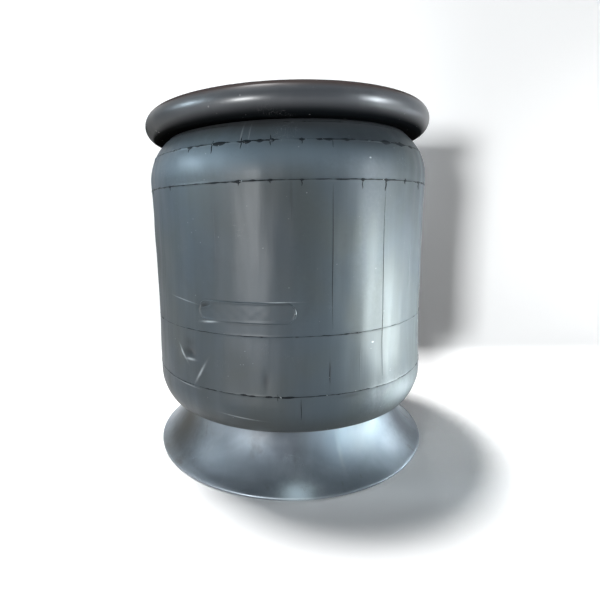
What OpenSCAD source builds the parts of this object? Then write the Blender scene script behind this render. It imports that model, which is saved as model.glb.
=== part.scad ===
// Air suspension spring of the rolling lobe kind, collapsed on its bump stop.
// The base stands on z = 0, the axis of the spring is Z, and all sizes are in millimetres.
// The label pad faces -Y, a little to -X.

/* [Overall] */
// Height from the base to the top plate's face
body_h = 274.4; // [265:0.1:300]
// Play between parts that move apart
play = 0.4; // [0.3:0.05:0.5]

/* [Top plate] */
// Outer radius of the rolled rim
rim_r = 114.3; // [105:0.1:125]
// Height of the rolled rim
rim_h = 20.2; // [19:0.1:22]
// Thickness of the plate
plate_t = 3.2; // [2.8:0.1:3.6]
// Distance of the lip inside the middle of the roll
lip_in = 6.2; // [5.5:0.1:7]
// Distance of the pressed channel inside the sleeve's bead
channel_in = 0.5; // [0.4:0.1:6]
// Width of the pressed channel
channel_w = 12; // [10:0.5:14]
// Depth of the pressed channel
channel_d = 1.6; // [1:0.1:2.4]

/* [Sleeve] */
// How far the waist lies inside the wall's radius at the lobe
waist_pinch = 2.5; // [0.5:0.1:4]
// Height of the waist over the base
waist_z = 170; // [150:1:190]
// Width of the lobe, from the outer wall to the inner one
lobe_w = 24; // [20:0.5:27]
// Height of the lobe's lowest point
lobe_floor = 44.5; // [40:0.1:60]
// Height of the curved part of the lobe
lobe_h = 24.2; // [20:0.1:28]
// Radius at the tip of the lobe
lobe_tip_r = 7; // [6.5:0.1:8]
// Radius of the shoulder under the rim
shoulder_r = 40; // [36:0.5:44]
// Drop from the rim's underside to the start of the shoulder
shoulder_drop = 32.2; // [30:0.1:34]
// Thickness of the cover rubber
cover_t = 2.2; // [1.8:0.1:2.4]
// Thickness of each cord ply
ply_t = 1; // [0.8:0.1:1.1]
// Thickness of the liner rubber
liner_t = 1.8; // [1.4:0.1:2]
// Length of each ply inside a bead
ply_run = 3; // [1:0.5:3.5]
// Radius of the bead wire bundles
wire_r = 3; // [2:0.1:3.2]
// Distance of the lower bead from the start of the crown's edge
low_bead_in = 9; // [7:0.5:12]
// Height of the lower bead
low_bead_h = 13; // [12:0.1:14]
// Width of the lower bead behind its wire
low_bead_w = 7; // [6:0.1:8]

/* [Label pad] */
// Width of the pad
pad_w = 71.5; // [50:0.5:90]
// Height of the pad
pad_h = 15; // [10:0.5:20]
// Height of the pad's middle over the base
pad_z = 132.4; // [110:0.1:160]
// How far the pad stands proud
pad_t = 0.9; // [0.5:0.1:1.5]
// Turn of the pad about the axis, from -Y
pad_turn = -15.2; // [-40:0.1:40]

/* [Piston] */
// Height of the piston's crown
piston_h = 190; // [180:1:195]
// Radius of the crown's edge
crown_r = 14; // [10:0.5:18]
// Thickness of the piston's sheet
sheet_t = 3; // [2.5:0.1:3.5]
// How far the skirt flares out from the wall
skirt_flare = 28; // [20:0.5:34]
// Height at which the skirt leaves the wall
skirt_h = 51; // [46:0.5:56]

/* [Base] */
// Thickness of the base cup
base_t = 5; // [4:0.1:6]
// Bend radius of the base cup
base_bend_r = 9; // [7:0.5:12]
// Length of the base cup's flange along the wall
base_seat = 11; // [8:0.5:16]
// Diameter of the circle of the base bolts
base_pcd = 114.3; // [100:0.1:125]
// Number of base bolts
base_bolts = 4; // [2:1:6]
// Radius of the base bolts
base_bolt_r = 6.35; // [4:0.05:7]
// Width of the weld nuts across their flats
weld_nut_af = 19.05; // [17:0.05:24]
// Height of the weld nuts
weld_nut_h = 11; // [8:0.5:14]

/* [Core] */
// Thickness of the head disc
head_t = 6; // [4:0.5:8]
// Distance of the head disc from the start of the crown's edge
head_in = 10.5; // [5:0.5:20]
// Bore radius of the centre column
column_bore_r = 19; // [18:0.5:22]
// Wall of the centre column
column_t = 5; // [4:0.5:6]
// Number of gussets
gussets = 4; // [3:1:6]
// Thickness of the gussets
gusset_t = 4; // [3:0.5:6]
// Space between the base cup's flange and the gussets
gusset_gap = 4; // [2:0.5:8]
// Slope that clears the crown's edge
gusset_slope = 21; // [18:0.5:26]

/* [Closure and bolt] */
// Thickness of the closure's hub
hub_t = 6; // [5:0.5:8]
// Thickness of the closure's flange
closure_t = 4; // [3:0.1:5]
// Mean radius of the seal ring
seal_r = 30; // [26:0.5:34]
// Width of the seal ring
seal_w = 4; // [3:0.5:6]
// Height of the seal ring
seal_h = 2.5; // [2:0.1:3]
// Radius of the piston bolt
bolt_r = 9.5; // [8:0.1:10]
// Play round the bolt in its holes
bolt_play = 0.7; // [0.3:0.1:1]
// Width of the bolt's head and nut across their flats
bolt_af = 28.6; // [26:0.1:30]
// Height of the bolt's head
bolt_head_h = 12; // [10:0.5:14]
// Height of the nut
nut_h = 16; // [12:0.5:20]
// Length of bolt under the nut
bolt_tail = 7; // [3:0.5:12]
// Thickness of the washer
washer_t = 3; // [2:0.5:4]
// Width of the washer past the bolt's hole
washer_w = 7; // [5:0.5:7.5]

/* [Bump stop] */
// Thickness of the bumper plate
bumper_plate_t = 3.5; // [2.5:0.5:5]
// Space round the bump stop's foot
bumper_in = 5.6; // [3:0.1:8]
// How much the bump stop narrows to its top
bumper_taper = 6; // [4:0.5:10]
// Space round the washer in the bump stop's bore
bumper_bore_gap = 0.6; // [0.4:0.1:3]
// Radius of the grooves round the bump stop
groove_r = 3.5; // [2:0.5:5]

/* [Studs] */
// Distance of the air stud's flange inside the pressed channel
stud_in = 0.43; // [0.4:0.01:10]
// Distance of the studs behind the axis
stud_back = 30; // [20:0.5:34]
// Radius of the mounting stud
stud_r = 6.35; // [5:0.05:8]
// How much thicker the studs are inside the plate
stud_root = 1.5; // [0.5:0.1:3]
// Radius of the air stud
air_stud_r = 9.525; // [9:0.025:11]
// Length of the studs over the plate
stud_len = 28; // [20:0.5:40]
// Chamfer of the studs
stud_chamfer = 1.2; // [0.5:0.1:2]
// Radius of the air port
port_r = 5.55; // [5:0.05:7]
// Depth of the air port
port_h = 15; // [10:0.5:18]
// Radius of the air passage
passage_r = 4; // [2:0.5:4.5]
// Thickness of the stud flanges
flange_t = 5; // [3:0.5:7]
// Width of the stud flanges round the studs
flange_w = 6; // [4:0.5:8]

/* [Hidden] */
$fn = 144;
arc_steps = 9;
wall_steps = 9;
side_steps = 5;
cut_steps = 4;
half_turn = 180;
hex_turn = 30;
bore_slack = 1;

// Rim of the top plate
rim_roll_r = rim_h / 2;
rim_floor = body_h - rim_h;
rim_c = [rim_r - rim_roll_r, body_h - rim_roll_r];
plate_floor = body_h - plate_t;

// Sleeve: the depth of each layer's inner face under the cover's outer face
outer_ply_at = cover_t;
inner_ply_at = outer_ply_at + ply_t;
liner_at = inner_ply_at + ply_t;
sleeve_t = liner_at + liner_t;

// Sleeve: the shoulder, which passes round the rim's lip
lip_turn_r = plate_t / 2 + play;
lip_c = [rim_c[0] - lip_in, rim_floor + plate_t / 2];
shoulder_z = rim_floor - shoulder_drop;
shoulder_turn = asin((lip_c[1] - shoulder_z) / (shoulder_r + lip_turn_r));
shoulder_c = [lip_c[0] - (shoulder_r + lip_turn_r) * cos(shoulder_turn), shoulder_z];

// Sleeve: the wall, a parabola with its vertex at the waist, and the lobe
lobe_z = lobe_floor + lobe_h;
function pinch_at(z) = waist_pinch * (1 - pow((z - waist_z) / (lobe_z - waist_z), 2));
lobe_r = shoulder_c[0] + shoulder_r + pinch_at(shoulder_z);
function wall_r(z) = lobe_r - pinch_at(z);
lobe_in_r = lobe_r - lobe_w;
lobe_mid_r = (lobe_r + lobe_in_r) / 2;
lobe_half_w = lobe_w / 2;
lobe_rise = lobe_h - lobe_tip_r;
lobe_side_r = (pow(lobe_half_w, 2) + pow(lobe_rise, 2) - pow(lobe_tip_r, 2)) / (2 * (lobe_half_w - lobe_tip_r));
lobe_turn = atan2(lobe_rise, lobe_side_r - lobe_half_w);

// Label pad: how deep the cut that makes it reaches at the pad's ends
pad_depth = sqrt(pow(wall_r(pad_z), 2) - pow(pad_w / 2, 2)) - sleeve_t;

// Piston's wall and crown, which the sleeve's inner wall lies on
piston_r = lobe_in_r - play;
wall_in_r = piston_r - sheet_t;
crown_c = [piston_r - crown_r, piston_h - crown_r];

// Beads
bead_floor = rim_floor + plate_t + play;
bead_top = plate_floor - play;
bead_nose_r = (bead_top - lip_c[1] - lip_turn_r - sleeve_t) / 2;
low_bead_floor = piston_h + play;
low_bead_top = low_bead_floor + low_bead_h;
low_bead_out_r = crown_c[0] - low_bead_in;
low_bead_r = low_bead_out_r - low_bead_w;

// Skirt: one arc from the wall to the edge
skirt_r = piston_r + skirt_flare;
skirt_drop = skirt_h - sheet_t / 2;
skirt_turn = 2 * atan(skirt_flare / skirt_drop);
skirt_bend_r = skirt_drop / sin(skirt_turn);
skirt_c = [piston_r - sheet_t / 2 + skirt_bend_r, skirt_h];

// Base and core
base_top = skirt_h + base_seat;
column_r = column_bore_r + column_t;
head_r = crown_c[0] - head_in;
head_floor = piston_h - sheet_t - head_t;
gusset_floor = base_top + gusset_gap;

// Closure, bump stop and bolt
bolt_hole_r = bolt_r + bolt_play;
hub_top = piston_h + hub_t;
closure_in_r = low_bead_r - low_bead_h / 2 - play;
nose_r = (low_bead_h - sleeve_t) / 2;
closure_lip_r = low_bead_out_r + nose_r + play;
closure_top = low_bead_top + play + closure_t;
closure_lip_z = low_bead_floor + sleeve_t + play;
bumper_foot_r = closure_in_r - closure_t - bumper_in;
bumper_top_r = bumper_foot_r - bumper_taper;
bumper_floor = hub_top + bumper_plate_t;
bumper_top = plate_floor - play;
bumper_h = bumper_top - bumper_floor;
washer_r = bolt_hole_r + washer_w;
washer_top = bumper_floor + washer_t;
bumper_bore_r = washer_r + bumper_bore_gap;

// Pressed channel and studs
channel_r = lip_c[0] - bead_nose_r - channel_in;
channel_in_r = channel_r - channel_w;
stud_ring_r = channel_in_r - stud_in - flange_w - air_stud_r - stud_root;
stud_x = sqrt(pow(stud_ring_r, 2) - pow(stud_back, 2));
flange_floor = plate_floor - flange_t;
stud_top = body_h + stud_len;

// Points on an arc, from angle a to angle b
function arc(c, r, a, b, steps = arc_steps) =
    [for (k = [0:steps]) c + r * [cos(a + (b - a) * k / steps), sin(a + (b - a) * k / steps)]];
function rest(points) = [for (k = [1:len(points) - 1]) points[k]];
function backwards(points) = [for (k = [len(points) - 1:-1:0]) points[k]];

// The face of the sleeve at a depth under the cover's outer face, from the upper bead to the lower one
function sleeve_face(depth, run = 0) = concat(
    run > 0 ? [[lip_c[0] + run, lip_c[1] + lip_turn_r + depth]] : [],
    arc(lip_c, lip_turn_r + depth, half_turn / 2, half_turn + shoulder_turn),
    rest(arc(shoulder_c, shoulder_r - depth, shoulder_turn, 0)),
    [for (k = [1:wall_steps])
        let (z = shoulder_z + (lobe_z - shoulder_z) * k / wall_steps) [wall_r(z) - depth, z]],
    rest(arc([lobe_r - lobe_side_r, lobe_z], lobe_side_r - depth, 0, -lobe_turn, side_steps)),
    rest(arc([lobe_mid_r, lobe_floor + lobe_tip_r], lobe_tip_r - depth, -lobe_turn, lobe_turn - half_turn)),
    rest(arc([lobe_in_r + lobe_side_r, lobe_z], lobe_side_r - depth, lobe_turn - half_turn, -half_turn, side_steps)),
    arc(crown_c, crown_r + play + depth, 0, half_turn / 2),
    [[low_bead_out_r - run, low_bead_floor + depth]]
);

// One layer of the sleeve
module layer_2d(from, to, run = 0) {
    polygon(concat(sleeve_face(to, run), backwards(sleeve_face(from, run))));
}

// A ring's section between two radii and two angles less than half a turn apart
module bend_2d(c, r_in, r_out, a, b) {
    translate(c)
        intersection() {
            difference() {
                circle(r = r_out);
                circle(r = r_in);
            }
            polygon(concat([[0, 0]], arc([0, 0], 2 * r_out, a, b, cut_steps)));
        }
}

// A straight piece of a section, given by its inner and outer radius and its floor and top
module block_2d(r_in, r_out, z_floor, z_top) {
    translate([r_in, z_floor])
        square([r_out - r_in, z_top - z_floor]);
}

// The outline of the rolled rim: a half circle outside, open towards the axis
module roll_2d(r) {
    block_2d(lip_c[0], rim_c[0], rim_c[1] - r, rim_c[1] + r);
    intersection() {
        block_2d(lip_c[0], rim_c[0] + r, rim_c[1] - r, rim_c[1] + r);
        translate(rim_c)
            circle(r = r);
    }
}

// The upper bead fills the roll, and has a round nose over the liner
module upper_bead_2d() {
    roll_2d((bead_top - bead_floor) / 2);
    translate([lip_c[0], bead_top - bead_nose_r])
        circle(r = bead_nose_r);
}

module lower_bead_2d() {
    translate([low_bead_r, low_bead_floor + low_bead_h / 2])
        circle(r = low_bead_h / 2);
    block_2d(low_bead_r, low_bead_out_r, low_bead_floor, low_bead_top);
    translate([low_bead_out_r, low_bead_top - nose_r])
        circle(r = nose_r);
}

module wires_2d(r) {
    translate(rim_c)
        circle(r = r);
    translate([low_bead_r, low_bead_floor + low_bead_h / 2])
        circle(r = r);
}

// A round bar with a thicker root, flush with the plate's face, and a chamfered top
module stud(r) {
    rotate_extrude()
        polygon([
            [0, flange_floor], [r + stud_root, flange_floor], [r + stud_root, body_h],
            [r, body_h], [r, stud_top - stud_chamfer], [r - stud_chamfer, stud_top], [0, stud_top]
        ]);
}

module top_bead_plate() {
    plate_face = [
        [0, 0], [channel_in_r, 0], [channel_in_r + channel_d, -channel_d],
        [channel_r - channel_d, -channel_d], [channel_r, 0], [rim_c[0], 0]
    ];
    color("#241f1e")
        difference() {
            rotate_extrude() {
                translate([0, body_h])
                    polygon(concat([for (p = plate_face) p - [0, plate_t]], backwards(plate_face)));
                difference() {
                    roll_2d(rim_roll_r);
                    roll_2d(rim_roll_r - plate_t);
                }
                translate(lip_c)
                    circle(r = plate_t / 2);
            }
            translate([-stud_x, stud_back, plate_floor - bore_slack])
                cylinder(r = stud_r + stud_root, h = plate_t + 2 * bore_slack);
            translate([stud_x, stud_back, plate_floor - bore_slack])
                cylinder(r = air_stud_r + stud_root, h = plate_t + 2 * bore_slack);
        }
}

module mounting_stud() {
    color("#b9b6a6")
        translate([-stud_x, stud_back, 0])
            stud(stud_r);
}

module air_stud() {
    color("#b9b6a6")
        translate([stud_x, stud_back, 0])
            difference() {
                stud(air_stud_r);
                translate([0, 0, stud_top - port_h])
                    cylinder(r = port_r, h = port_h + bore_slack);
                translate([0, 0, flange_floor - bore_slack])
                    cylinder(r = passage_r, h = stud_top - flange_floor);
            }
}

module stud_weld_flanges() {
    color("#8f8d86")
        for (one = [[-1, stud_r + stud_root], [1, air_stud_r + stud_root]])
            translate([one[0] * stud_x, stud_back, flange_floor])
                difference() {
                    cylinder(r = one[1] + flange_w, h = flange_t);
                    translate([0, 0, -bore_slack])
                        cylinder(r = one[1], h = flange_t + 2 * bore_slack);
                }
}

module sleeve_cover() {
    color("#5c666c")
        rotate_extrude() {
            layer_2d(0, cover_t, ply_run);
            difference() {
                union() {
                    upper_bead_2d();
                    lower_bead_2d();
                }
                layer_2d(outer_ply_at, liner_at, ply_run);
                wires_2d(wire_r + play);
            }
        }
}

module outer_ply() {
    color("#c8b98c")
        rotate_extrude()
            layer_2d(outer_ply_at, inner_ply_at, ply_run);
}

module inner_ply() {
    color("#d8cba2")
        rotate_extrude()
            layer_2d(inner_ply_at, liner_at, ply_run);
}

module sleeve_liner() {
    color("#2b2c2e")
        rotate_extrude()
            layer_2d(liner_at, sleeve_t);
}

// The pad is the part of a thin skin on the wall that lies inside a capsule
module label_pad() {
    color("#525c62")
        intersection() {
            rotate_extrude()
                layer_2d(-pad_t, 0);
            rotate([90, 0, pad_turn])
                translate([0, pad_z, pad_depth])
                    linear_extrude(height = lobe_r) {
                        square([pad_w - pad_h, pad_h], center = true);
                        for (side = [-1, 1])
                            translate([side * (pad_w - pad_h) / 2, 0])
                                circle(d = pad_h);
                    }
        }
}

module upper_bead_wire() {
    color("#9a9c9e")
        rotate_extrude()
            translate(rim_c)
                circle(r = wire_r);
}

module lower_bead_wire() {
    color("#9a9c9e")
        rotate_extrude()
            translate([low_bead_r, low_bead_floor + low_bead_h / 2])
                circle(r = wire_r);
}

module lower_end_closure() {
    color("#6d7072")
        rotate_extrude()
            difference() {
                union() {
                    block_2d(bolt_hole_r, closure_in_r, piston_h, hub_top);
                    block_2d(closure_in_r - closure_t, closure_in_r, piston_h, closure_top);
                    block_2d(closure_in_r - closure_t, closure_lip_r + closure_t, closure_top - closure_t, closure_top);
                    block_2d(closure_lip_r, closure_lip_r + closure_t, closure_lip_z, closure_top);
                }
                block_2d(seal_r - seal_w / 2, seal_r + seal_w / 2, piston_h - bore_slack, piston_h + seal_h);
            }
}

module closure_seal_ring() {
    color("#1c1d1e")
        rotate_extrude()
            block_2d(seal_r - seal_w / 2, seal_r + seal_w / 2, piston_h, piston_h + seal_h);
}

module bumper_plate() {
    color("#8a8d90")
        rotate_extrude()
            block_2d(bolt_hole_r, bumper_foot_r, hub_top, bumper_floor);
}

module bump_stop() {
    color("#202224")
        rotate_extrude()
            difference() {
                polygon([
                    [bumper_bore_r, bumper_floor], [bumper_foot_r, bumper_floor],
                    [bumper_top_r, bumper_top], [bumper_bore_r, bumper_top]
                ]);
                for (share = [1 / 3, 2 / 3])
                    translate([
                        bumper_foot_r + (bumper_top_r - bumper_foot_r) * share,
                        bumper_floor + bumper_h * share
                    ])
                        circle(r = groove_r);
            }
}

module piston_bolt() {
    color("#a7a9ab") {
        translate([0, 0, washer_top])
            cylinder(d = bolt_af / cos(hex_turn), h = bolt_head_h, $fn = 6);
        translate([0, 0, head_floor - nut_h - bolt_tail])
            cylinder(r = bolt_r, h = washer_top - head_floor + nut_h + bolt_tail);
    }
}

module bolt_washer() {
    color("#b4b6b8")
        rotate_extrude()
            block_2d(bolt_hole_r, washer_r, bumper_floor, washer_top);
}

module piston_nut() {
    color("#a7a9ab")
        translate([0, 0, head_floor - nut_h])
            difference() {
                cylinder(d = bolt_af / cos(hex_turn), h = nut_h, $fn = 6);
                translate([0, 0, -bore_slack])
                    cylinder(r = bolt_r, h = nut_h + 2 * bore_slack);
            }
}

// The drawn cup and its skirt are one sheet: crown, edge, wall, flare and rounded hem
module piston_shell() {
    color("#4b5560")
        rotate_extrude() {
            block_2d(bolt_hole_r, crown_c[0], piston_h - sheet_t, piston_h);
            bend_2d(crown_c, crown_r - sheet_t, crown_r, 0, 90);
            block_2d(wall_in_r, piston_r, skirt_h, crown_c[1]);
            bend_2d(skirt_c, skirt_bend_r - sheet_t / 2, skirt_bend_r + sheet_t / 2,
                half_turn, half_turn + skirt_turn);
            translate([skirt_r - sheet_t / 2, sheet_t / 2])
                circle(r = sheet_t / 2);
        }
}

module piston_head_disc() {
    color("#5b646c")
        rotate_extrude()
            block_2d(bolt_hole_r, head_r, head_floor, head_floor + head_t);
}

module centre_column() {
    color("#5b646c")
        rotate_extrude()
            block_2d(column_bore_r, column_r, base_t, head_floor);
}

module column_gussets() {
    color("#525b64")
        for (k = [0:gussets - 1])
            rotate([0, 0, 360 * (k + 0.5) / gussets])
                intersection() {
                    rotate([90, 0, 0])
                        linear_extrude(height = gusset_t, center = true)
                            polygon([
                                [0, gusset_floor], [piston_r, gusset_floor],
                                [piston_r, crown_c[1] - gusset_slope / 2], [head_r, head_floor], [0, head_floor]
                            ]);
                    difference() {
                        translate([0, 0, gusset_floor])
                            cylinder(r = wall_in_r, h = head_floor - gusset_floor);
                        cylinder(r = column_r, h = body_h);
                    }
                    translate([column_r / 2, -gusset_t, 0])
                        cube([piston_r, 2 * gusset_t, body_h]);
                }
}

module base_cup() {
    color("#59626a")
        difference() {
            rotate_extrude() {
                block_2d(column_bore_r, wall_in_r - base_bend_r, 0, base_t);
                bend_2d([wall_in_r - base_bend_r, base_bend_r], base_bend_r - base_t, base_bend_r, -90, 0);
                block_2d(wall_in_r - base_t, wall_in_r, base_bend_r, base_top);
            }
            at_base_bolts()
                translate([0, 0, -bore_slack])
                    cylinder(r = base_bolt_r, h = base_t + 2 * bore_slack);
        }
}

// Places its children on the circle of base bolts
module at_base_bolts() {
    for (k = [0:base_bolts - 1])
        rotate([0, 0, 360 * k / base_bolts])
            translate([base_pcd / 2, 0, 0])
                children();
}

module base_weld_nuts() {
    color("#8f9294")
        at_base_bolts()
            translate([0, 0, base_t])
                difference() {
                    rotate([0, 0, hex_turn])
                        cylinder(d = weld_nut_af / cos(hex_turn), h = weld_nut_h, $fn = 6);
                    translate([0, 0, -bore_slack])
                        cylinder(r = base_bolt_r, h = weld_nut_h + 2 * bore_slack);
                }
}

top_bead_plate();
mounting_stud();
air_stud();
stud_weld_flanges();
sleeve_cover();
outer_ply();
inner_ply();
sleeve_liner();
label_pad();
upper_bead_wire();
lower_bead_wire();
lower_end_closure();
closure_seal_ring();
bump_stop();
bumper_plate();
piston_bolt();
bolt_washer();
piston_nut();
piston_shell();
piston_head_disc();
centre_column();
column_gussets();
base_cup();
base_weld_nuts();
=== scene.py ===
"""Looks of an air suspension spring: rolled rim, moulded rubber sleeve and flared piston skirt."""

import math

import bpy
import numpy as np
from mathutils import Matrix, Vector


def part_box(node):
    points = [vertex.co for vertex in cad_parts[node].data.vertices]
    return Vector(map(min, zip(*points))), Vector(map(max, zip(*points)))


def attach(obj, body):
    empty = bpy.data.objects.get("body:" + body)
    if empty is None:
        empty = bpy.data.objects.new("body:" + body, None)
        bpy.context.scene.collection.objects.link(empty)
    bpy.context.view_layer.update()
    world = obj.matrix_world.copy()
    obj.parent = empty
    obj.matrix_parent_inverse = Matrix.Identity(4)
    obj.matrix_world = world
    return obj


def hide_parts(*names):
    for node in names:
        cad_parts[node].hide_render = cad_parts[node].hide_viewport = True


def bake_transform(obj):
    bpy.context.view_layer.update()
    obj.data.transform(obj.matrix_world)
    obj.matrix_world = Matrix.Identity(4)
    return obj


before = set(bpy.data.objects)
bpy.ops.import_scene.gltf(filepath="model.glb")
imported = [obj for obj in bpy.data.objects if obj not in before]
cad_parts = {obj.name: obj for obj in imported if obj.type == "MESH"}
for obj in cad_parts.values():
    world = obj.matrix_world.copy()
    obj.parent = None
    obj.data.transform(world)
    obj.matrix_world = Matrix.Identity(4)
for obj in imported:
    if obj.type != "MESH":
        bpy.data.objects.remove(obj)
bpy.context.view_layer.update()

# Sizes of the spring, in metres
MM = 0.001
PLATE_LOW, PLATE_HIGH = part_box("top_bead_plate")
COVER_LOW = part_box("sleeve_cover")[0]
SHELL_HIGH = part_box("piston_shell")[1]
TOP = PLATE_HIGH.z
RIM_R = PLATE_HIGH.x
RIM_H = TOP - PLATE_LOW.z
PLATE_T = 3.2 * MM
PLAY = 0.4 * MM
LIP_IN = 6.2 * MM
ROLL_R = RIM_H / 2
RIM_FLOOR = TOP - RIM_H
RIM_MID = (RIM_R - ROLL_R, TOP - ROLL_R)

# Sleeve: shoulder, wall and lobe
COVER_T = 2.2 * MM
PLY_T = 1 * MM
LINER_T = 1.8 * MM
SLEEVE_T = COVER_T + 2 * PLY_T + LINER_T
SHOULDER_R = 40 * MM
SHOULDER_DROP = 32.2 * MM
WAIST_Z = 170 * MM
WAIST_PINCH = 2.5 * MM
LOBE_W = 24 * MM
LOBE_FLOOR = COVER_LOW.z
LOBE_H = 24.2 * MM
LOBE_TIP_R = 7 * MM
LIP_TURN_R = PLATE_T / 2 + PLAY
LIP = (RIM_MID[0] - LIP_IN, RIM_FLOOR + PLATE_T / 2)
SHOULDER_Z = RIM_FLOOR - SHOULDER_DROP
SHOULDER_TURN = math.asin((LIP[1] - SHOULDER_Z) / (SHOULDER_R + LIP_TURN_R))
SHOULDER_X = LIP[0] - (SHOULDER_R + LIP_TURN_R) * math.cos(SHOULDER_TURN)
LOBE_Z = LOBE_FLOOR + LOBE_H
LOBE_R = SHOULDER_X + SHOULDER_R + WAIST_PINCH * (1 - ((SHOULDER_Z - WAIST_Z) / (LOBE_Z - WAIST_Z)) ** 2)
LOBE_IN_R = LOBE_R - LOBE_W
LOBE_MID_R = LOBE_R - LOBE_W / 2
LOBE_RISE = LOBE_H - LOBE_TIP_R
LOBE_SIDE_R = ((LOBE_W / 2) ** 2 + LOBE_RISE**2 - LOBE_TIP_R**2) / (LOBE_W - 2 * LOBE_TIP_R)
LOBE_TURN = math.degrees(math.atan2(LOBE_RISE, LOBE_SIDE_R - LOBE_W / 2))

# Piston: crown, wall and skirt
PISTON_R = LOBE_IN_R - PLAY
CROWN_Z = SHELL_HIGH.z
CROWN_R = 14 * MM
CROWN_MID = (PISTON_R - CROWN_R, CROWN_Z - CROWN_R)
SHEET_T = 3 * MM
SKIRT_H = 51 * MM
SKIRT_R = SHELL_HIGH.x
BOLT_HOLE_R = 10.2 * MM

# Beads: rings of rubber that hold the sleeve's two ends
BEAD_FLOOR = RIM_FLOOR + PLATE_T + PLAY
BEAD_TOP = TOP - PLATE_T - PLAY
BEAD_NOSE_R = (BEAD_TOP - LIP[1] - LIP_TURN_R - SLEEVE_T) / 2
LOW_BEAD_FLOOR = CROWN_Z + PLAY
LOW_BEAD_H = 13 * MM
LOW_BEAD_OUT_R = CROWN_MID[0] - 9 * MM
LOW_BEAD_R = LOW_BEAD_OUT_R - 7 * MM

# Top plate: pressed channel and studs
CHANNEL_R = LIP[0] - BEAD_NOSE_R - 0.5 * MM
CHANNEL_W = 12 * MM
CHANNEL_D = 1.6 * MM
STUD_ROOT = 1.5 * MM
STUD_LEN = 28 * MM
STUD_CHAMFER = 1.2 * MM
FLANGE_T = 5 * MM
FLANGE_W = 6 * MM
AIR_STUD_R = 9.525 * MM
STUD_R = 6.35 * MM
STUD_BACK = 30 * MM
FLANGE_GAP = 0.43 * MM
STUD_OUT = CHANNEL_R - CHANNEL_W - FLANGE_GAP - FLANGE_W - AIR_STUD_R - STUD_ROOT
STUD_X = math.sqrt(STUD_OUT**2 - STUD_BACK**2)
PORT_R = 5.55 * MM
PORT_H = 15 * MM
PASSAGE_R = 4 * MM

# Label pad
PAD_W = 71.5 * MM
PAD_H = 15 * MM
PAD_Z = 132.4 * MM
PAD_TURN = -15.2


def arc(middle, radius, start, end, steps):
    """Points on an arc between two angles, in degrees."""
    turns = [math.radians(start + (end - start) * k / steps) for k in range(steps + 1)]
    return [(middle[0] + radius * math.cos(a), middle[1] + radius * math.sin(a)) for a in turns]


def wall_r(z):
    """Radius of the sleeve's wall, which is drawn in at the waist."""
    return LOBE_R - WAIST_PINCH * (1 - ((z - WAIST_Z) / (LOBE_Z - WAIST_Z)) ** 2)


def outside_r(z):
    """Radius of the sleeve's outer face from the lobe's side to the rim."""
    z = np.asarray(z, float)
    shoulder = SHOULDER_X + np.sqrt(np.maximum(SHOULDER_R**2 - (z - SHOULDER_Z) ** 2, 0))
    side = LOBE_R - LOBE_SIDE_R + np.sqrt(np.maximum(LOBE_SIDE_R**2 - (z - LOBE_Z) ** 2, 0))
    return np.where(z > SHOULDER_Z, shoulder, np.where(z < LOBE_Z, side, wall_r(z)))


# Camera, at the photograph's place
CAMERA_PLACE = (0, -379.2 * MM, 193.8 * MM)
PITCH = math.radians(11.13)
YAW = math.radians(-2.47)
ROLL = math.radians(-1.24)
FRAME_PX = 600
FOCAL_PX = 422.6
MIDDLE_PX = (269.8, 300.4)
SENSOR = 36
camera_data = bpy.data.cameras.new("camera")
camera = bpy.data.objects.new("camera", camera_data)
bpy.context.scene.collection.objects.link(camera)
camera.matrix_world = (
    Matrix.Translation(CAMERA_PLACE)
    @ Matrix.Rotation(-YAW, 4, "Z")
    @ Matrix.Rotation(math.radians(90) - PITCH, 4, "X")
    @ Matrix.Rotation(ROLL, 4, "Z")
)
camera_data.sensor_width = SENSOR
camera_data.lens = FOCAL_PX / FRAME_PX * SENSOR
camera_data.shift_x = (FRAME_PX / 2 - MIDDLE_PX[0]) / FRAME_PX
camera_data.shift_y = (MIDDLE_PX[1] - FRAME_PX / 2) / FRAME_PX
camera_data.clip_start = 0.01
bpy.context.scene.camera = camera

# Modelling
MERGE = 0.002 * MM


def deselect():
    bpy.ops.object.select_all(action="DESELECT")


def only(piece):
    """Selects one piece alone and makes it the active one."""
    deselect()
    bpy.context.view_layer.objects.active = piece
    piece.select_set(True)


def named(name):
    """Names the active piece and its mesh."""
    piece = bpy.context.object
    piece.name = name
    piece.data.name = name
    return piece


def edit_all():
    """Opens the active piece's mesh with all its points selected."""
    bpy.ops.object.mode_set(mode="EDIT")
    bpy.ops.mesh.select_all(action="SELECT")


def close_edit():
    bpy.ops.object.mode_set(mode="OBJECT")


def applied():
    """Writes the active piece's place, turn and scale into its mesh."""
    bpy.ops.object.transform_apply(location=True, rotation=True, scale=True)


def upright_grid(columns, rows, size):
    """A flat grid that stands upright and faces the front."""
    deselect()
    bpy.ops.mesh.primitive_grid_add(
        x_subdivisions=columns, y_subdivisions=rows, size=size, rotation=(math.radians(90), 0, 0)
    )
    applied()
    return bpy.context.object


def extruded(step):
    bpy.ops.mesh.extrude_region_move(TRANSFORM_OT_translate={"value": step})


def drawn(name, points):
    """A line drawn through points, left in edit mode."""
    deselect()
    bpy.ops.mesh.primitive_plane_add(size=MM, location=points[0])
    piece = named(name)
    applied()
    edit_all()
    bpy.ops.mesh.merge(type="CENTER")
    for start, end in zip(points, points[1:]):
        extruded(tuple(b - a for a, b in zip(start, end)))
    return piece


def smoothed(piece, angle=35):
    """Recalculates the normals and smooths all but the sharp edges."""
    only(piece)
    edit_all()
    bpy.ops.mesh.remove_doubles(threshold=MERGE)
    bpy.ops.mesh.normals_make_consistent(inside=False)
    close_edit()
    bpy.ops.object.shade_smooth_by_angle(angle=math.radians(angle))
    return piece


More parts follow.
